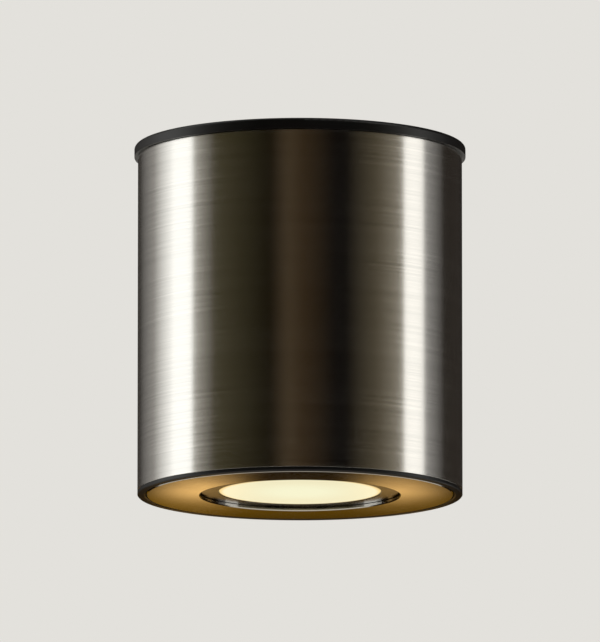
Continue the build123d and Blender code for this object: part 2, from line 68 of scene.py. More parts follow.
tube_low, tube_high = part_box("sleeve_tube")
light_axis = Vector(((tube_low.x + tube_high.x) / 2, (tube_low.y + tube_high.y) / 2, 0.0))
collar_low, collar_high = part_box("ring_collar")
collar_radius = (collar_high.x - collar_low.x) / 2

# ---- Sizes of what the frame doesn't hold ----

lens_radius = 22.4 * MM  # of the glass that shows in its holder
bezel_bore = 34.8 * MM  # the radius in which the collar's thread turns
thread_pitch = 2.0 * MM
thread_height = 0.7 * MM
thread_turns = 3.2
thread_start = 0.9 * MM  # above the collar's foot
ridge_base, ridge_crest = 1.0 * MM, 0.4 * MM  # widths of a thread's ridge
ridge_sink = 0.1 * MM  # of a ridge's base into the metal that it stands on

# A screw's sizes in millimetres: the radius of its shank, the radius and height of its head, and
# the radius of its socket
M2_5 = (1.2, 1.9, 1.4, 0.8)
M3 = (1.5, 2.8, 2.2, 1.4)
M4 = (2.0, 3.5, 2.2, 1.6)
M4_button = (2.0, 3.6, 2.2, 1.3)
tie_angles = (30, 150, 270)  # of the three long screws round the light's axis, in degrees
same_place = 5  # decimals of a metre to which two screws' places are compared

UP, DOWN, OUT = Vector((0, 0, 1)), Vector((0, 0, -1)), Vector((0, -1, 0))
LEFT, RIGHT = Vector((-1, 0, 0)), Vector((1, 0, 0))

# ---- Small tools ----

MATH = "ShaderNodeMath"
noise_low, noise_high = 0.3, 0.7  # between which nearly all of a noise lies


def srgb(code):
    """An sRGB hex colour as the linear colour that a shader takes."""
    levels = [int(code[i : i + 2], 16) / 255 for i in (1, 3, 5)]
    linear = [v / 12.92 if v <= 0.04045 else ((v + 0.055) / 1.055) ** 2.4 for v in levels]
    return (*linear, 1.0)


def add_node(tree, kind, inputs=None, **settings):
    """Add a node with its settings, and give its sockets values or links. A link may be given as a
    socket, or as a node, which stands for its first output."""
    made = tree.nodes.new(kind)
    for name, value in settings.items():
        setattr(made, name, value)
    for name, value in (inputs or {}).items():
        if isinstance(value, bpy.types.Node):
            value = value.outputs[0]
        if isinstance(value, bpy.types.NodeSocket):
            tree.links.new(value, made.inputs[name])
        else:
            made.inputs[name].default_value = value
    return made


def start_finish(name, colour, values):
    """A new material with its own tree and shader, and these values on the shader's own sockets."""
    material = bpy.data.materials.new(name)
    material.use_nodes = True
    tree = material.node_tree
    shader = tree.nodes["Principled BSDF"]
    shader.inputs["Base Color"].default_value = srgb(colour)
    for socket, value in values.items():
        shader.inputs[socket].default_value = value
    return material, tree, shader


def pattern_place(tree, grain):
    """Object coordinates from the light's axis, counted in grains of these sizes in millimetres."""
    place = add_node(tree, "ShaderNodeTexCoord")
    scaled = add_node(
        tree,
        "ShaderNodeMapping",
        {
            "Vector": place.outputs["Object"],
            "Location": light_axis,
            "Scale": [size * MM for size in grain],
        },
        vector_type="TEXTURE",
    )
    return scaled.outputs["Vector"]


def work_up(tree, shader, colour=None, roughness=None, relief=None):
    """Work patterns into a finish: its colour, with the two hex colours that the pattern passes
    between, its roughness, with two values, and its relief, with a depth in millimetres and a
    strength."""
    if colour:
        pattern, first, second = colour
        mixed = add_node(
            tree,
            "ShaderNodeMix",
            {0: pattern, 6: srgb(first), 7: srgb(second)},
            data_type="RGBA",
        )
        tree.links.new(mixed.outputs[2], shader.inputs["Base Color"])
    if roughness:
        noise, low, high = roughness
        spread = add_node(
            tree,
            "ShaderNodeMapRange",
            {
                "Value": noise,
                "From Min": noise_low,
                "From Max": noise_high,
                "To Min": low,
                "To Max": high,
            },
        )
        tree.links.new(spread.outputs["Result"], shader.inputs["Roughness"])
    if relief:
        pattern, depth, strength = relief
        bump = add_node(
            tree,
            "ShaderNodeBump",
            {"Height": pattern, "Distance": depth * MM, "Strength": strength},
        )
        tree.links.new(bump.outputs["Normal"], shader.inputs["Normal"])


# ---- Finishes: metals ----

ROUND = 60.0  # millimetres; a grain this long runs round the light without a visible end
FLAT = 1e6  # millimetres; a pattern with a grain this deep depends on its two other axes alone


def brushed_stainless_tube():
    """Stainless steel tube, brushed round its axis with a 180-grit belt. The level hairlines draw
    every reflection out from top to bottom, so a lamp beside the tube becomes an upright band with
    crisp sides. Real hairlines are some 0.05 mm wide. These are 0.25 mm, so that they show."""
    material, tree, shader = start_finish(
        "brushed_stainless_tube",
        "#C9C6C0",
        {"Metallic": 1.0, "Anisotropic": 0.85, "Anisotropic Rotation": 0.25},
    )
    along = add_node(tree, "ShaderNodeTangent", direction_type="RADIAL", axis="Z")
    tree.links.new(along.outputs["Tangent"], shader.inputs["Tangent"])
    passes_share, handling_share = 0.5, 0.5  # of what they add to the hairlines
    hairlines = add_node(
        tree,
        "ShaderNodeTexNoise",
        {"Vector": pattern_place(tree, (ROUND, ROUND, 0.25)), "Scale": 1.0, "Detail": 1.0},
    )
    passes = add_node(
        tree,
        "ShaderNodeTexNoise",
        {"Vector": pattern_place(tree, (2 * ROUND, 2 * ROUND, 1.6)), "Scale": 1.0, "Detail": 1.0},
    )
    handling = add_node(
        tree,
        "ShaderNodeTexNoise",
        {"Vector": pattern_place(tree, (18.0, 18.0, 26.0)), "Scale": 1.0, "Detail": 2.0},
    )
    brushed = add_node(
        tree,
        MATH,
        {0: passes.outputs["Fac"], 1: passes_share, 2: hairlines.outputs["Fac"]},
        operation="MULTIPLY_ADD",
    )
    worn = add_node(
        tree,
        MATH,
        {0: handling.outputs["Fac"], 1: handling_share, 2: brushed.outputs["Value"]},
        operation="MULTIPLY_ADD",
    )
    rough = add_node(
        tree,
        "ShaderNodeMapRange",
        {
            "Value": worn.outputs["Value"],
            "From Min": 0.7,
            "From Max": 1.3,
            "To Min": 0.19,
            "To Max": 0.25,
        },
    )
    tree.links.new(rough.outputs["Result"], shader.inputs["Roughness"])
    work_up(
        tree,
        shader,
        colour=(brushed, "#BCBBB7", "#D5D3CF"),
        relief=(passes.outputs["Fac"], 0.003, 0.3),
    )
    return material


def turned_stainless_face():
    """Stainless steel sheet, satin turned on a lathe. Its fine rings lie round the light, so a
    reflection spreads from the middle to the rim. The rings are 0.4 mm apart, so that they show."""
    material, tree, shader = start_finish(
        "turned_stainless_face",
        "#CBC7C0",
        {"Metallic": 1.0, "Anisotropic": 0.7, "Anisotropic Rotation": 0.25},
    )
    along = add_node(tree, "ShaderNodeTangent", direction_type="RADIAL", axis="Z")
    tree.links.new(along.outputs["Tangent"], shader.inputs["Tangent"])
    handling_share = 0.4  # of what it adds to the rings
    flat_place = pattern_place(tree, (0.4, 0.4, FLAT))
    radius = add_node(tree, "ShaderNodeVectorMath", {0: flat_place}, operation="LENGTH")
    rings = add_node(
        tree,
        "ShaderNodeTexNoise",
        {"W": radius.outputs["Value"], "Scale": 1.0, "Detail": 2.0},
        noise_dimensions="1D",
    )
    handling = add_node(
        tree,
        "ShaderNodeTexNoise",
        {"Vector": pattern_place(tree, (9.0, 9.0, 9.0)), "Scale": 1.0, "Detail": 2.0},
    )
    worn = add_node(
        tree,
        MATH,
        {0: handling.outputs["Fac"], 1: handling_share, 2: rings.outputs["Fac"]},
        operation="MULTIPLY_ADD",
    )
    rough = add_node(
        tree,
        "ShaderNodeMapRange",
        {
            "Value": worn.outputs["Value"],
            "From Min": 0.4,
            "From Max": 1.0,
            "To Min": 0.10,
            "To Max": 0.17,
        },
    )
    tree.links.new(rough.outputs["Result"], shader.inputs["Roughness"])
    work_up(
        tree,
        shader,
        colour=(rings.outputs["Fac"], "#BEBAB2", "#D6D3CC"),
        relief=(rings.outputs["Fac"], 0.01, 0.3),
    )
    return material


def small_metal(name, first, second, roughness, grain, depth):
    """A small metal piece: mottled between two tones, with gloss that drifts and a fine grain."""
    material, tree, shader = start_finish(name, first, {"Metallic": 1.0})
    mottle = add_node(
        tree,
        "ShaderNodeTexNoise",
        {"Vector": pattern_place(tree, (3.0, 3.0, 3.0)), "Scale": 1.0, "Detail": 3.0},
    )
    fine = add_node(
        tree,
        "ShaderNodeTexNoise",
        {"Vector": pattern_place(tree, grain), "Scale": 1.0, "Detail": 2.0},
    )
    work_up(
        tree,
        shader,
        colour=(mottle.outputs["Fac"], first, second),
        roughness=(mottle.outputs["Fac"], roughness - 0.03, roughness + 0.05),
        relief=(fine.outputs["Fac"], depth, 0.6),
    )
    return material


# ---- Finishes: mouldings and coatings ----


def moulding(name, first, second, roughness, grain, depth, values=None):
    """A moulded or coated piece: a fine even grain, with colour and gloss that drift slowly."""
    material, tree, shader = start_finish(name, first, values or {})
    fine = add_node(
        tree,
        "ShaderNodeTexNoise",
        {"Vector": pattern_place(tree, (grain, grain, grain)), "Scale": 1.0, "Detail": 2.0},
    )
    drift = add_node(
        tree,
        "ShaderNodeTexNoise",
        {"Vector": pattern_place(tree, (16.0, 16.0, 16.0)), "Scale": 1.0, "Detail": 3.0},
    )
    work_up(
        tree,
        shader,
        colour=(drift.outputs["Fac"], first, second),
        roughness=(drift.outputs["Fac"], roughness - 0.05, roughness + 0.07),
        relief=(fine.outputs["Fac"], depth, 0.7),
    )
    return material


def foam_finish():
    """Closed-cell EPDM foam, cut from sheet: matt, with open cells 0.8 mm across at its edge. The
    cells' hollows are painted darker than their rims: painted shade.
    """
    material, tree, shader = start_finish("closed_cell_foam", "#1B1B1C", {"Roughness": 0.95})
    cells = add_node(
        tree,
        "ShaderNodeTexVoronoi",
        {"Vector": pattern_place(tree, (0.8, 0.8, 0.8)), "Scale": 1.0},
        feature="F1",
    )
    # The colour darkens towards each cell's middle, where the relief sinks: painted shade in the
    # hollows.
    work_up(
        tree,
        shader,
        colour=(cells.outputs["Distance"], "#0C0C0D", "#2A2A2C"),
        relief=(cells.outputs["Distance"], 0.25, 1.0),
    )
    return material


def earth_insulation():
    """PVC insulation in the two colours of an earth wire: a yellow stripe winds round the green."""
    material, tree, shader = start_finish("pvc_green_yellow", "#2F7A32", {"Roughness": 0.42})
    stripe = add_node(
        tree,
        "ShaderNodeTexWave",
        {"Vector": pattern_place(tree, (2.2, 2.2, 2.2)), "Scale": 1.0, "Distortion": 0.4},
        bands_direction="DIAGONAL",
    )
    drift = add_node(
        tree,
        "ShaderNodeTexNoise",
        {"Vector": pattern_place(tree, (2.0, 2.0, 2.0)), "Scale": 1.0, "Detail": 2.0},
    )
    sharp = add_node(
        tree,
        "ShaderNodeMapRange",
        {"Value": stripe.outputs["Fac"], "From Min": 0.62, "From Max": 0.68},
    )
    work_up(
        tree,
        shader,
        colour=(sharp.outputs["Result"], "#2C7A33", "#D9C23A"),
        roughness=(drift.outputs["Fac"], 0.36, 0.5),
    )
    return material


# ---- Finishes: glass and light ----


def lit_frosted_glass():
    """Toughened glass, frosted on its inner face, with the lamp alight behind it: warm white, a
    little yellower outward, and a shade darker where the glass ends in its holder."""
    material, tree, shader = start_finish(
        "lit_frosted_glass",
        "#4A463A",
        {"Roughness": 0.22, "IOR": 1.52, "Emission Strength": 1.0},
    )
    flat_place = pattern_place(tree, (lens_radius / MM, lens_radius / MM, FLAT))
    radius = add_node(tree, "ShaderNodeVectorMath", {0: flat_place}, operation="LENGTH")
    frost = add_node(
        tree,
        "ShaderNodeTexNoise",
        {"Vector": pattern_place(tree, (0.5, 0.5, 0.5)), "Scale": 1.0, "Detail": 2.0},
    )
    outward = add_node(
        tree,
        "ShaderNodeMapRange",
        {"Value": radius.outputs["Value"], "From Min": 0.2, "From Max": 0.8},
        interpolation_type="SMOOTHSTEP",
    )
    rim = add_node(
        tree,
        "ShaderNodeMapRange",
        {"Value": radius.outputs["Value"], "From Min": 0.93, "From Max": 1.0},
        interpolation_type="SMOOTHSTEP",
    )
    glow = add_node(
        tree,
        "ShaderNodeMix",
        {0: outward.outputs["Result"], 6: srgb("#F1F0CE"), 7: srgb("#ECE6C2")},
        data_type="RGBA",
    )
    shaded = add_node(
        tree,
        "ShaderNodeMix",
        {0: rim.outputs["Result"], 6: glow.outputs[2], 7: srgb("#E8C884")},
        data_type="RGBA",
    )
    tree.links.new(shaded.outputs[2], shader.inputs["Emission Color"])
    work_up(tree, shader, relief=(frost.outputs["Fac"], 0.02, 0.4))
    return material


def lit_lamp_optic():
    """Clear acrylic optic with a pattern of small lenses 2.6 mm across, alight."""
    material, tree, shader = start_finish(
        "lit_acrylic_optic",
        "#D8D2BC",
        {"Roughness": 0.12, "IOR": 1.49, "Emission Strength": 1.0},
    )
    lenses = add_node(
        tree,
        "ShaderNodeTexVoronoi",
        {"Vector": pattern_place(tree, (2.6, 2.6, FLAT)), "Scale": 1.0, "Randomness": 0.0},
        feature="F1",
    )
    glow = add_node(
        tree,
        "ShaderNodeMix",
        {0: lenses.outputs["Distance"], 6: srgb("#FFF6D2"), 7: srgb("#C9B173")},
        data_type="RGBA",
    )
    tree.links.new(glow.outputs[2], shader.inputs["Emission Color"])
    work_up(tree, shader, relief=(lenses.outputs["Distance"], 0.4, 1.0))
    return material


FINISHES = {
    "brushed_steel": brushed_stainless_tube(),
    "face_steel": turned_stainless_face(),
    # Glass-filled nylon with a satin spark-eroded grain: near black, with soft wide highlights.
    "black_plastic": moulding(
        "black_nylon", "#070708", "#0F0F10", 0.36, 0.45, 0.02, {"Specular IOR Level": 0.35}
    ),
    # Polycarbonate, moulded glossy: dark brown, and gold where it reflects warm light.
    "holder_plastic": moulding("black_polycarbonate", "#120C07", "#1A120B", 0.17, 0.4, 0.006),
    # Die-cast aluminium with a fine textured powder coat: matt, with an orange-peel sparkle.
    "black_cast": moulding("black_powder_coat", "#141415", "#1E1E20", 0.55, 0.7, 0.06),
    # Turned aluminium, black anodised: dark metal with a dull silky sheen.
    "black_aluminium": small_metal(
        "black_anodised_aluminium", "#1C1C1E", "#262628", 0.38, (20.0, 20.0, 0.3), 0.01
    ),
    "lens_glass": lit_frosted_glass(),
    # EPDM rubber: matt black with a faint bloom.
    "rubber": moulding("black_epdm_rubber", "#121212", "#1F1F1F", 0.72, 0.5, 0.03),
    # Silicone rubber: translucent grey, soft and slightly glossy.
    "silicone": moulding(
        "grey_silicone", "#9C9B96", "#ABAAA5", 0.45, 0.6, 0.02, {"Subsurface Weight": 0.2}
    ),
    "foam": foam_finish(),
    # Mild steel, zinc plated and clear passivated: bluish patches, soft gloss.
    "zinc_steel": small_metal(
        "zinc_plated_steel", "#BCC0C5", "#C7C6BF", 0.32, (0.6, 0.6, 0.6), 0.006
    ),
    # Stainless steel screws, tumbled bright: even grey with tiny dents.
    "screw_steel": small_metal(
        "tumbled_stainless", "#B9B7B2", "#C9C7C2", 0.27, (0.5, 0.5, 0.5), 0.015
    ),
    # Spring steel strip, oil tempered: dark grey with a blue cast.
    "spring_steel": small_metal(
        "tempered_spring_steel", "#6F747C", "#858990", 0.3, (0.4, 0.4, 8.0), 0.01
    ),
    # PBT with glass bubbles, as lamp makers use it: clean white with a low gloss.
    "white_lamp": moulding("white_pbt", "#DDDBD3", "#E6E4DD", 0.4, 0.6, 0.015),
    "lamp_optic": lit_lamp_optic(),
    # Steatite ceramic, pressed and unglazed: creamy white, dry, with a powder-fine grain.
    "ceramic": moulding("steatite_ceramic", "#E4E0D3", "#EDEAE0", 0.62, 0.35, 0.03),
    # Brass, stamped and turned: warm yellow that has dulled in patches.
    "brass": small_metal("stamped_brass", "#C9A253", "#B98F45", 0.3, (0.5, 0.5, 0.5), 0.01),
    # Natural polyamide: off-white, a little translucent.
    "terminal_plastic": moulding(
        "natural_polyamide", "#DAD6C8", "#E2DFD3", 0.42, 0.5, 0.015, {"Subsurface Weight": 0.15}
    ),
    # PVC wire insulation, extruded: smooth and softly glossy.
    "brown_insulation": moulding("pvc_brown", "#5A3320", "#6A3D27", 0.42, 0.6, 0.01),
    "blue_insulation": moulding("pvc_blue", "#2457A8", "#2D64B8", 0.42, 0.6, 0.01),
    "green_insulation": earth_insulation(),
}

SLOTS = {part["node"]: part["material_slot"] for part in frame["record"]["subparts"]}
for node, slot in SLOTS.items():
    mesh = frame["nodes"][node].data
    for place in range(len(mesh.materials)):
        mesh.materials[place] = FINISHES[slot]


# ---- Pieces that Geometry Nodes make ----


def start_tree(name, sizes):
    """A tree with a named input for each size and one for the finish."""
    tree = bpy.data.node_groups.new(name, "GeometryNodeTree")
    for way in ("INPUT", "OUTPUT"):
        tree.interface.new_socket("Mesh", in_out=way, socket_type="NodeSocketGeometry")
    for size in sizes:
        tree.interface.new_socket(size, in_out="INPUT", socket_type="NodeSocketFloat")
    tree.interface.new_socket("Finish", in_out="INPUT", socket_type="NodeSocketMaterial")
    return tree, add_node(tree, "NodeGroupInput").outputs


def end_tree(tree, given, mesh):
    """Make the instances real, give them the finish, and send them out."""
    real = add_node(tree, "GeometryNodeRealizeInstances", {"Geometry": mesh})
    finished = add_node(
        tree, "GeometryNodeSetMaterial", {"Geometry": real.outputs[0], "Material": given["Finish"]}
    )
    add_node(tree, "NodeGroupOutput", {"Mesh": finished.outputs[0]})


def grow(name, tree, seed, sizes, slot, body):
    """Run a tree once on a seed mesh, and keep the result as a plain mesh that rides on a body."""
    piece = bpy.data.objects.new(name, seed)
    bpy.context.scene.collection.objects.link(piece)
    modifier = piece.modifiers.new("tree", "NODES")
    modifier.node_group = tree
    for socket in tree.interface.items_tree:
        if socket.in_out == "INPUT" and socket.name in sizes:
            modifier[socket.identifier] = sizes[socket.name]
        if socket.name == "Finish":
            modifier[socket.identifier] = FINISHES[slot]
    graph = bpy.context.evaluated_depsgraph_get()
    grown = bpy.data.meshes.new_from_object(piece.evaluated_get(graph))
    piece.modifiers.remove(modifier)
    piece.data = grown
    grown.name = name
    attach(piece, body)
    return piece


def points_mesh(name, places, facing):
    """A mesh of loose points, each of which knows which way its screw faces."""
    mesh = bpy.data.meshes.new(name)
    mesh.from_pydata(places, [], [])
    ways = mesh.attributes.new("facing", "FLOAT_VECTOR", "POINT")
    for row, way in zip(ways.data, facing):
        row.vector = way
    return mesh


def thread_tree():
    """A thread's ridge: four flat sides swept along a right-hand helix, smaller at both ends."""
    sizes = ["Radius", "Height", "Base", "Crest", "Pitch", "Low", "Turns"]
    tree, given = start_tree("thread_ridge", sizes)
    steps_a_turn = 96
    run_out_part, run_out_size = 0.05, 0.15  # of the ridge's length, and of its full size
    rise = add_node(tree, MATH, {0: given["Pitch"], 1: given["Turns"]}, operation="MULTIPLY")
    helix = add_node(
        tree,
        "GeometryNodeCurveSpiral",
        {
            "Resolution": steps_a_turn,
            "Rotations": given["Turns"],
            "Start Radius": given["Radius"],
            "End Radius": given["Radius"],
            "Height": rise,
            "Reverse": True,
        },
    )
    upright = add_node(
        tree, "GeometryNodeSetCurveNormal", {"Curve": helix.outputs[0]}, mode="Z_UP"
    )
    profile = add_node(
        tree,
        "GeometryNodeCurvePrimitiveQuadrilateral",
        {
            "Bottom Width": given["Base"],
            "Top Width": given["Crest"],
            "Offset": 0.0,
            "Height": given["Height"],
        },
        mode="TRAPEZOID",
    )
    seated = add_node(
        tree,
        "GeometryNodeTransform",
        {"Geometry": profile.outputs[0], "Rotation": (0.0, 0.0, math.radians(-90))},
    )
    along = add_node(tree, "GeometryNodeSplineParameter")
    rest = add_node(tree, MATH, {0: 1.0, 1: along.outputs["Factor"]}, operation="SUBTRACT")
    nearest_end = add_node(tree, MATH, {0: along.outputs["Factor"], 1: rest}, operation="MINIMUM")
    run_out = add_node(
        tree,
        "ShaderNodeMapRange",
        {
            "Value": nearest_end,
            "From Min": 0.0,
            "From Max": run_out_part,
            "To Min": run_out_size,
            "To Max": 1.0,
        },
    )
    ridge = add_node(
        tree,
        "GeometryNodeCurveToMesh",
        {
            "Curve": upright.outputs[0],
            "Profile Curve": seated.outputs[0],
            "Scale": run_out.outputs["Result"],
            "Fill Caps": True,
        },
    )
    place = add_node(
        tree, "ShaderNodeCombineXYZ", {"X": light_axis.x, "Y": light_axis.y, "Z": given["Low"]}
    )
    placed = add_node(
        tree,
        "GeometryNodeTransform",
        {"Geometry": ridge.outputs[0], "Translation": place.outputs[0]},
    )
    end_tree(tree, given, placed.outputs[0])
    return tree


def lathe(tree, around, along, radius_of, level_of):
    """A turned solid: a grid rolled round the Z axis, with a radius and a level for each row. Its
    two end rows close it."""
    grid = add_node(
        tree,
        "GeometryNodeMeshGrid",
        {"Size X": 1.0, "Size Y": 1.0, "Vertices X": around + 1, "Vertices Y": along + 1},
    )
    place = add_node(tree, "GeometryNodeInputPosition")
    parts = add_node(tree, "ShaderNodeSeparateXYZ", {0: place.outputs[0]})
    turn = add_node(tree, MATH, {0: parts.outputs["X"], 1: 0.5}, operation="ADD")
    row = add_node(
        tree, MATH, {0: parts.outputs["Y"], 1: along, 2: along / 2}, operation="MULTIPLY_ADD"
    )
    radius = radius_of(row, turn)
    angle = add_node(tree, MATH, {0: turn, 1: -2 * math.pi}, operation="MULTIPLY")
    cosine = add_node(tree, MATH, {0: angle}, operation="COSINE")
    sine = add_node(tree, MATH, {0: angle}, operation="SINE")
    x = add_node(tree, MATH, {0: radius, 1: cosine}, operation="MULTIPLY")
    y = add_node(tree, MATH, {0: radius, 1: sine}, operation="MULTIPLY")
    rolled = add_node(tree, "ShaderNodeCombineXYZ", {"X": x, "Y": y, "Z": level_of(row)})
    moved = add_node(
        tree,
        "GeometryNodeSetPosition",
        {"Geometry": grid.outputs["Mesh"], "Position": rolled.outputs[0]},
    )
    closed = add_node(
        tree,
        "GeometryNodeMergeByDistance",
        {"Geometry": moved.outputs[0], "Distance": 0.001 * MM},
    )
    return closed.outputs[0]


def screw_tree():
    """A pan-head screw with a hexagon socket, set at every point of a mesh, its head's way given by
    the point's own attribute. The seat is at the point, and the shank goes the other way."""
    sizes = ["Shank Radius", "Head Radius", "Head Height", "Socket Radius", "Length", "Threaded"]
    tree, given = start_tree("socket_screw", sizes + ["Pitch"])
    head_sides, head_rows = 36, 14
    shank_sides, shank_rows = 20, 112
    plain_rows = 2.0  # of the shank, before its thread
    squareness = 0.4  # of the head's outline, where 1 is round and 0 is a box
    socket_length = 1.2  # in head heights; half of it is in the head
    groove_slope = 1.1  # depth of the thread's groove for each step along it
    tip_size = 0.62  # of the shank's radius
    crisp_bend = math.radians(40)

    def head_angle(row):
        quarter_turn = math.pi / 2
        step = quarter_turn / (head_rows - 1)
        return add_node(tree, MATH, {0: row, 1: step}, operation="MULTIPLY")

    def head_radius(row, turn):
        sine = add_node(tree, MATH, {0: head_angle(row)}, operation="SINE")
        swell = add_node(tree, MATH, {0: sine, 1: squareness}, operation="POWER")
        full = add_node(tree, MATH, {0: swell, 1: given["Head Radius"]}, operation="MULTIPLY")
        not_last = add_node(tree, MATH, {0: row, 1: head_rows - 0.5}, operation="LESS_THAN")
        return add_node(tree, MATH, {0: full, 1: not_last}, operation="MULTIPLY")

    def head_level(row):
        cosine = add_node(tree, MATH, {0: head_angle(row)}, operation="COSINE")
        positive = add_node(tree, MATH, {0: cosine, 1: 0.0}, operation="MAXIMUM")
        swell = add_node(tree, MATH, {0: positive, 1: squareness}, operation="POWER")
        return add_node(tree, MATH, {0: swell, 1: given["Head Height"]}, operation="MULTIPLY")

    head = lathe(tree, head_sides, head_rows, head_radius, head_level)
    socket_depth = add_node(
        tree, MATH, {0: given["Head Height"], 1: socket_length}, operation="MULTIPLY"
    )
    hexagon = add_node(
        tree,
        "GeometryNodeMeshCylinder",
        {"Vertices": 6, "Radius": given["Socket Radius"], "Depth": socket_depth},
    )
    lift = add_node(tree, "ShaderNodeCombineXYZ", {"Z": given["Head Height"]})
    raised = add_node(
        tree,
        "GeometryNodeTransform",
        {"Geometry": hexagon.outputs["Mesh"], "Translation": lift.outputs[0]},
    )
    socketed = add_node(
        tree,
        "GeometryNodeMeshBoolean",
        {"Mesh 1": head, "Mesh 2": raised.outputs[0]},
        operation="DIFFERENCE",
    )

    def depth(row):
        last = shank_rows - 1.0
        below = add_node(tree, MATH, {0: row, 1: plain_rows}, operation="MAXIMUM")
        held = add_node(tree, MATH, {0: below, 1: last}, operation="MINIMUM")
        past = add_node(tree, MATH, {0: held, 1: plain_rows}, operation="SUBTRACT")
        part = add_node(tree, MATH, {0: past, 1: last - plain_rows}, operation="DIVIDE")
        lengths = {0: given["Length"], 1: given["Threaded"]}
        plain = add_node(tree, MATH, lengths, operation="SUBTRACT")
        lengths = {0: part, 1: given["Threaded"], 2: plain}
        deep = add_node(tree, MATH, lengths, operation="MULTIPLY_ADD")
        off_seat = add_node(tree, MATH, {0: row, 1: plain_rows - 0.5}, operation="GREATER_THAN")
        return add_node(tree, MATH, {0: deep, 1: off_seat}, operation="MULTIPLY")

    def shank_radius(row, turn):
        deep = depth(row)
        left = add_node(tree, MATH, {0: given["Length"], 1: deep}, operation="SUBTRACT")
        pitches = add_node(tree, MATH, {0: deep, 1: given["Pitch"]}, operation="DIVIDE")
        phase = add_node(tree, MATH, {0: pitches, 1: turn}, operation="ADD")
        groove = add_node(tree, MATH, {0: phase, 1: 0.5}, operation="PINGPONG")
        away = add_node(tree, MATH, {0: groove, 1: given["Pitch"]}, operation="MULTIPLY")
        cut = add_node(tree, MATH, {0: away, 1: groove_slope}, operation="MULTIPLY")
        has_thread = add_node(tree, MATH, {0: row, 1: plain_rows + 0.5}, operation="GREATER_THAN")
        cut_here = add_node(tree, MATH, {0: cut, 1: has_thread}, operation="MULTIPLY")
        sizes = {0: given["Shank Radius"], 1: cut_here}
        threaded = add_node(tree, MATH, sizes, operation="SUBTRACT")
        sizes = {0: given["Shank Radius"], 1: tip_size, 2: left}
        tip = add_node(tree, MATH, sizes, operation="MULTIPLY_ADD")
        full = add_node(tree, MATH, {0: threaded, 1: tip}, operation="MINIMUM")
        to_tip = add_node(tree, MATH, {0: float(shank_rows), 1: row}, operation="SUBTRACT")
        nearest_end = add_node(tree, MATH, {0: row, 1: to_tip}, operation="MINIMUM")
        not_end = add_node(tree, MATH, {0: nearest_end, 1: 1.0}, operation="MINIMUM")
        return add_node(tree, MATH, {0: full, 1: not_end}, operation="MULTIPLY")

    def shank_level(row):
        return add_node(tree, MATH, {0: depth(row), 1: -1.0}, operation="MULTIPLY")

    shank = lathe(tree, shank_sides, shank_rows, shank_radius, shank_level)
    whole = add_node(tree, "GeometryNodeJoinGeometry")
    for part in (socketed.outputs["Mesh"], shank):
        tree.links.new(part, whole.inputs[0])
    smooth = add_node(
        tree,
        "GeometryNodeSetShadeSmooth",
        {"Geometry": whole.outputs[0], "Shade Smooth": True},
        domain="FACE",
    )
    bend = add_node(tree, "GeometryNodeInputMeshEdgeAngle")
    crisp = add_node(tree, MATH, {0: bend, 1: crisp_bend}, operation="GREATER_THAN")
    edged = add_node(
        tree,
        "GeometryNodeSetShadeSmooth",
        {"Geometry": smooth.outputs[0], "Selection": crisp, "Shade Smooth": False},
        domain="EDGE",
    )
    facing = add_node(
        tree, "GeometryNodeInputNamedAttribute", {"Name": "facing"}, data_type="FLOAT_VECTOR"
    )
    turned = add_node(
        tree,
        "FunctionNodeAlignRotationToVector",
        {"Vector": facing.outputs["Attribute"]},
        axis="Z",
    )
    placed = add_node(
        tree,
        "GeometryNodeInstanceOnPoints",
        {
            "Points": given["Mesh"],
            "Instance": edged.outputs[0],
            "Rotation": turned.outputs["Rotation"],
        },
    )
    end_tree(tree, given, placed.outputs[0])
    return tree


THREAD = thread_tree()
SCREW = screw_tree()


def cut_thread(name, inner, outer, inner_width, outer_width, low, slot, body):
    """A thread's ridge between two radii, this wide at each."""
    sizes = {
        "Radius": (inner + outer) / 2,
        "Height": outer - inner,
        "Base": inner_width,
        "Crest": outer_width,
        "Pitch": thread_pitch,
        "Low": low,
        "Turns": thread_turns,
    }
    grow(name, THREAD, bpy.data.meshes.new(name + "_seed"), sizes, slot, body)


ridge_low = collar_low.z + thread_start
cut_thread(
    "collar_thread",
    collar_radius - ridge_sink,
    collar_radius + thread_height,
    ridge_base,
    ridge_crest,
    ridge_low,
    "black_aluminium",
    "face_ring",
)
cut_thread(
    "bezel_thread",
    bezel_bore - thread_height,
    bezel_bore + ridge_sink,
    ridge_crest,
    ridge_base,
    ridge_low + thread_pitch / 2,
    "black_plastic",
    "root",
)


def corner_seats(node, size, way):
    """The seats of screws that face one way: the corners of a node's box, in by a head's radius."""
    low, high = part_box(node)
    inset = Vector([size[1] * MM * (1 - abs(part)) for part in way])
    low_seat, high_seat = low + inset, high - inset
    for i, part in enumerate(way):
        if part:
            level = high[i] - size[2] * MM if part > 0 else low[i] + size[2] * MM
            low_seat[i] = high_seat[i] = level
    ends = [{round(low_seat[i], same_place), round(high_seat[i], same_place)} for i in range(3)]
    return [(x, y, z) for x in sorted(ends[0]) for y in sorted(ends[1]) for z in sorted(ends[2])]


def circle_seats(node, size):
    """The seats of the three long screws, which face down round the light's axis. The first of them
    reaches furthest along X."""
    low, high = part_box(node)
    turns = [math.radians(angle) for angle in tie_angles]
    circle = ((high.x - low.x) / 2 - size[1] * MM) / math.cos(turns[0])
    level = low.z + size[2] * MM
    return [
        (light_axis.x + circle * math.cos(turn), light_axis.y + circle * math.sin(turn), level)
        for turn in turns
    ]


def set_screws(node, size, seats, ways, length, threaded, pitch):
    """Put a node's screws in its place, cut with a thread this long, in millimetres."""
    names = ("Shank Radius", "Head Radius", "Head Height", "Socket Radius")
    sizes = {name: value * MM for name, value in zip(names, size)}
    sizes |= {"Length": length, "Threaded": min(threaded * MM, length), "Pitch": pitch * MM}
    seed = points_mesh(node + "_seats", seats, ways)
    piece = grow("threaded_" + node, SCREW, seed, sizes, SLOTS[node], "root")
    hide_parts(node)


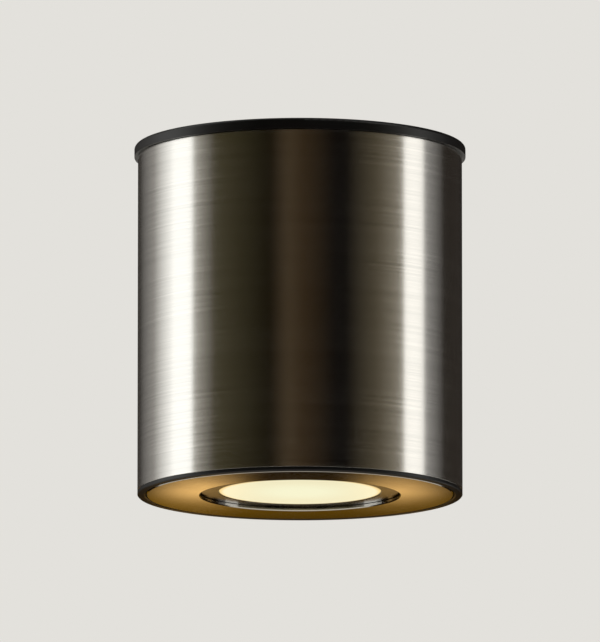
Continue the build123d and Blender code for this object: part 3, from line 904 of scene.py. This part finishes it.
for node, size, way, threaded, pitch in (
    ("holder_screws", M3, UP, 8.0, 0.5),
    ("bracket_screws", M3, DOWN, 8.0, 0.5),
    ("earth_screw", M3, UP, 6.0, 0.5),
    ("terminal_block_screws", M2_5, UP, 8.0, 0.45),
    ("saddle_screws", M4, OUT, 9.0, 0.7),
):
    low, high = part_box(node)
    seats = corner_seats(node, size, way)
    length = abs((high - low).dot(way)) - size[2] * MM
    set_screws(node, size, seats, [way] * len(seats), length, threaded, pitch)

low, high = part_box("tie_screws")
tie_length = high.z - low.z - M3[2] * MM
set_screws("tie_screws", M3, circle_seats("tie_screws", M3), [DOWN] * 3, tie_length, 12.0, 0.5)

low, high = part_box("side_screws")
side_head = M4_button[2] * MM
middle = (low + high) / 2
side_seats = [(low.x + side_head, middle.y, middle.z), (high.x - side_head, middle.y, middle.z)]
inner_tip = min(v.co.x for v in frame["nodes"]["side_screws"].data.vertices if v.co.x > middle.x)
side_length = side_seats[1][0] - inner_tip
set_screws("side_screws", M4_button, side_seats, [LEFT, RIGHT], side_length, 6.0, 0.7)


# ---- The studio ----

# The light hangs over a pale floor. Panels stand round it, out of the camera's sight: two softboxes
# light it from its sides, and the others only give its metal something to reflect.

floor_level = -0.9
floor_half = 5.0
BACKDROP = "#E3E1DC"

panel_distance = 1.2  # from the light's axis
panel_steps = 16
panel_high = 4.0
rear_low = -0.22  # foot of the rear panels, above what the face reflects to the camera
rear_split = 0.08  # level where the panel behind the light changes to a darker one

# A warm card hangs close behind the light and under it. Its gold band grows from nothing at
# band_low to its full strength at band_high, and fades to a part of that at band_top.
card_gap = 1 * MM  # behind the light's back
card_half_width = 0.085
card_low, card_top = -0.11, -0.042
CARD_DARK, BAND_GOLD, SPOT_GOLD = "#0E0602", "#684A0C", "#FFCB7C"
band_low, band_high, band_top = -0.060, -0.054, -0.048
band_top_part = 0.2
spot_level, spot_out = -0.0585, 0.027  # height of the two spots, and their distance from the middle
spot_half_width, spot_half_height = 0.020, 0.005
card_left_strength, card_right_strength = 1.45, 1.05  # at the two sides of the tube


def stage_mesh(name, points, faces, material):
    """An object of the stage, which isn't part of the light."""
    mesh = bpy.data.meshes.new(name)
    mesh.from_pydata(points, [], faces)
    mesh.materials.append(material)
    made = bpy.data.objects.new(name, mesh)
    bpy.context.scene.collection.objects.link(made)
    return made


def pale_floor():
    """A plain pale floor of matt paper, clear from below so that a low view looks through it."""
    material, tree, shader = start_finish("matt_paper", "#DEDCD7", {"Roughness": 0.9})
    side = add_node(tree, "ShaderNodeNewGeometry")
    clear = add_node(tree, "ShaderNodeBsdfTransparent")
    whole = add_node(
        tree,
        "ShaderNodeMixShader",
        {0: side.outputs["Backfacing"], 1: shader.outputs[0], 2: clear.outputs[0]},
    )
    tree.links.new(whole.outputs[0], tree.nodes["Material Output"].inputs["Surface"])
    fibres = add_node(
        tree,
        "ShaderNodeTexNoise",
        {"Vector": pattern_place(tree, (40.0, 40.0, 40.0)), "Scale": 1.0, "Detail": 2.0},
    )
    work_up(tree, shader, colour=(fibres.outputs["Fac"], "#DCDAD5", "#E0DED9"))
    corners = [(-1, -1), (1, -1), (1, 1), (-1, 1)]
    points = [(x * floor_half, y * floor_half, floor_level) for x, y in corners]
    stage_mesh("floor", points, [(0, 1, 2, 3)], material)


def backlit_cloth(name, first, last, strength):
    """Cloth lit from behind, from one colour at its panel's start to another at its end."""
    material = bpy.data.materials.new("backlit_cloth_" + name)
    material.use_nodes = True
    tree = material.node_tree
    tree.nodes.clear()
    place = add_node(tree, "ShaderNodeTexCoord")
    across = add_node(tree, "ShaderNodeSeparateXYZ", {0: place.outputs["UV"]})
    shade = add_node(
        tree,
        "ShaderNodeMix",
        {0: across.outputs["X"], 6: srgb(first), 7: srgb(last)},
        data_type="RGBA",
    )
    light = add_node(tree, "ShaderNodeEmission", {"Color": shade.outputs[2], "Strength": strength})
    add_node(tree, "ShaderNodeOutputMaterial", {"Surface": light.outputs[0]})
    return material


def hide_from_camera(made, lights):
    """Leave a panel out of the picture. One that doesn't light is only for the metal to reflect."""
    made.visible_camera = False
    made.visible_shadow = False
    made.visible_transmission = False
    made.visible_diffuse = lights


def panel(
    name, start, end, first, last, strength=1.0, lights=False, low=floor_level, high=panel_high
):
    """A panel of the studio, bent round the light's axis between two azimuths in degrees. Azimuth 0
    is the camera's side, and 90 is +X. Its colour passes from the first to the last."""
    points = []
    for step in range(panel_steps + 1):
        turn = math.radians(start + (end - start) * step / panel_steps)
        x = light_axis.x + panel_distance * math.sin(turn)
        y = light_axis.y - panel_distance * math.cos(turn)
        points += [(x, y, low), (x, y, high)]
    faces = [(2 * i, 2 * i + 2, 2 * i + 3, 2 * i + 1) for i in range(panel_steps)]
    made = stage_mesh(name, points, faces, backlit_cloth(name, first, last, strength))
    spread = made.data.uv_layers.new(name="across")
    for loop in made.data.loops:
        column, row = divmod(loop.vertex_index, 2)
        spread.data[loop.index].uv = (column / panel_steps, row)
    hide_from_camera(made, lights)


def warm_card():
    """A dark card, clear from behind, only for the metal to reflect. Its dim gold band shows in the
    far part of the face, and its two warm spots turn the face's two sides gold."""
    material = bpy.data.materials.new("warm_card")
    material.use_nodes = True
    tree = material.node_tree
    tree.nodes.clear()
    place = add_node(tree, "ShaderNodeTexCoord")
    mirrored = add_node(
        tree, "ShaderNodeVectorMath", {0: place.outputs["Object"]}, operation="ABSOLUTE"
    )
    spot = add_node(
        tree,
        "ShaderNodeMapping",
        {
            "Vector": mirrored.outputs["Vector"],
            "Location": (spot_out, 0.0, -spot_level),
            "Scale": (spot_half_width, 1.0, spot_half_height),
        },
        vector_type="TEXTURE",
    )
    away = add_node(tree, "ShaderNodeVectorMath", {0: spot.outputs["Vector"]}, operation="LENGTH")
    shade = add_node(
        tree,
        "ShaderNodeMapRange",
        {"Value": away.outputs["Value"], "From Min": 1.0, "From Max": 0.0},
        interpolation_type="SMOOTHSTEP",
    )
    apart = add_node(tree, "ShaderNodeSeparateXYZ", {0: place.outputs["Object"]})
    high = add_node(
        tree,
        "ShaderNodeMapRange",
        {"Value": apart.outputs["Z"], "From Min": band_low, "From Max": band_high},
        interpolation_type="SMOOTHSTEP",
    )
    fading = add_node(
        tree,
        "ShaderNodeMapRange",
        {
            "Value": apart.outputs["Z"],
            "From Min": band_high,
            "From Max": band_top,
            "To Min": 1.0,
            "To Max": band_top_part,
        },
    )
    both = add_node(
        tree,
        MATH,
        {0: high.outputs["Result"], 1: fading.outputs["Result"]},
        operation="MULTIPLY",
    )
    band = add_node(
        tree,
        "ShaderNodeMix",
        {0: both.outputs["Value"], 6: srgb(CARD_DARK), 7: srgb(BAND_GOLD)},
        data_type="RGBA",
    )
    colour = add_node(
        tree,
        "ShaderNodeMix",
        {0: shade.outputs["Result"], 6: band.outputs[2], 7: srgb(SPOT_GOLD)},
        data_type="RGBA",
    )
    stronger_left = add_node(
        tree,
        "ShaderNodeMapRange",
        {
            "Value": apart.outputs["X"],
            "From Min": tube_low.x,
            "From Max": tube_high.x,
            "To Min": card_left_strength,
            "To Max": card_right_strength,
        },
    )
    light = add_node(
        tree,
        "ShaderNodeEmission",
        {"Color": colour.outputs[2], "Strength": stronger_left.outputs["Result"]},
    )
    side = add_node(tree, "ShaderNodeNewGeometry")
    clear = add_node(tree, "ShaderNodeBsdfTransparent")
    whole = add_node(
        tree,
        "ShaderNodeMixShader",
        {0: side.outputs["Backfacing"], 1: light.outputs[0], 2: clear.outputs[0]},
    )
    add_node(tree, "ShaderNodeOutputMaterial", {"Surface": whole.outputs[0]})
    corners = [(-1, 0), (1, 0), (1, 1), (-1, 1)]
    height = card_top - card_low
    points = [
        (light_axis.x + x * card_half_width, cad_high.y + card_gap, card_low + z * height)
        for x, z in corners
    ]
    made = stage_mesh("warm_card", points, [(0, 1, 2, 3)], material)
    hide_from_camera(made, False)


pale_floor()
panel("rear_left", -156, -126, "#3E3B38", "#A29F9B", low=rear_low)
panel("left_rise", -126, -102, "#83807B", "#FFFFFC", 1.5, low=rear_low)
panel("left_softbox", -102, -81, "#FFFFFC", "#FFFFFC", 1.7, lights=True)
panel("left_fall", -81, -64, "#B4B0A6", "#5C574C")
panel("front_left", -64, -21, "#49432D", "#120C00")
panel("strip_rise", -21, -8, "#120C00", "#4C3F2D")
panel("front_strip", -8, 2, "#4C3F2D", "#3A2C1A")
panel("strip_fall", 2, 24, "#3A2C1A", "#020000")
panel("front_right", 24, 34, "#020000", "#020000")
panel("shoulder_rise", 34, 56, "#080400", "#564E3D")
panel("right_shoulder", 56, 78, "#564E3D", "#938B7B")
panel("right_softbox", 78, 97.5, "#FFFDF8", "#FFFDF8", 1.6, lights=True)
panel("right_fall", 97.5, 122, "#ABA9A6", "#3A3632")
panel("rear_right", 122, 156, "#2E2924", "#332E2A", low=rear_low)
panel("behind", 156, 204, "#8E8C8A", "#7A7775", low=rear_low, high=rear_split)
panel("behind_high", 156, 204, "#26221F", "#3E3A36", low=rear_split)
warm_card()

world = bpy.data.worlds.new("pale_studio")
world.use_nodes = True
world.node_tree.nodes["Background"].inputs["Color"].default_value = srgb(BACKDROP)
world.node_tree.nodes["Background"].inputs["Strength"].default_value = 1.0
bpy.context.scene.world = world
bpy.context.scene.view_settings.view_transform = "Standard"

# ---- The camera, at the photograph's angle ----

view_elevation = math.radians(-9.6)
view_distance = 4.0
view_height = 0.178  # of what the frame shows at the light
camera_data = bpy.data.cameras.new("camera")
camera_data.lens = camera_data.sensor_width * view_distance / view_height
camera_data.clip_start = 0.01
camera = bpy.data.objects.new("camera", camera_data)
bpy.context.scene.collection.objects.link(camera)
aim = light_axis + UP * (cad_low.z + cad_high.z) / 2
back = Vector((0.0, -math.cos(view_elevation), math.sin(view_elevation)))
camera.location = aim + back * view_distance
camera.rotation_euler = (-back).to_track_quat("-Z", "Y").to_euler()
bpy.context.scene.camera = camera
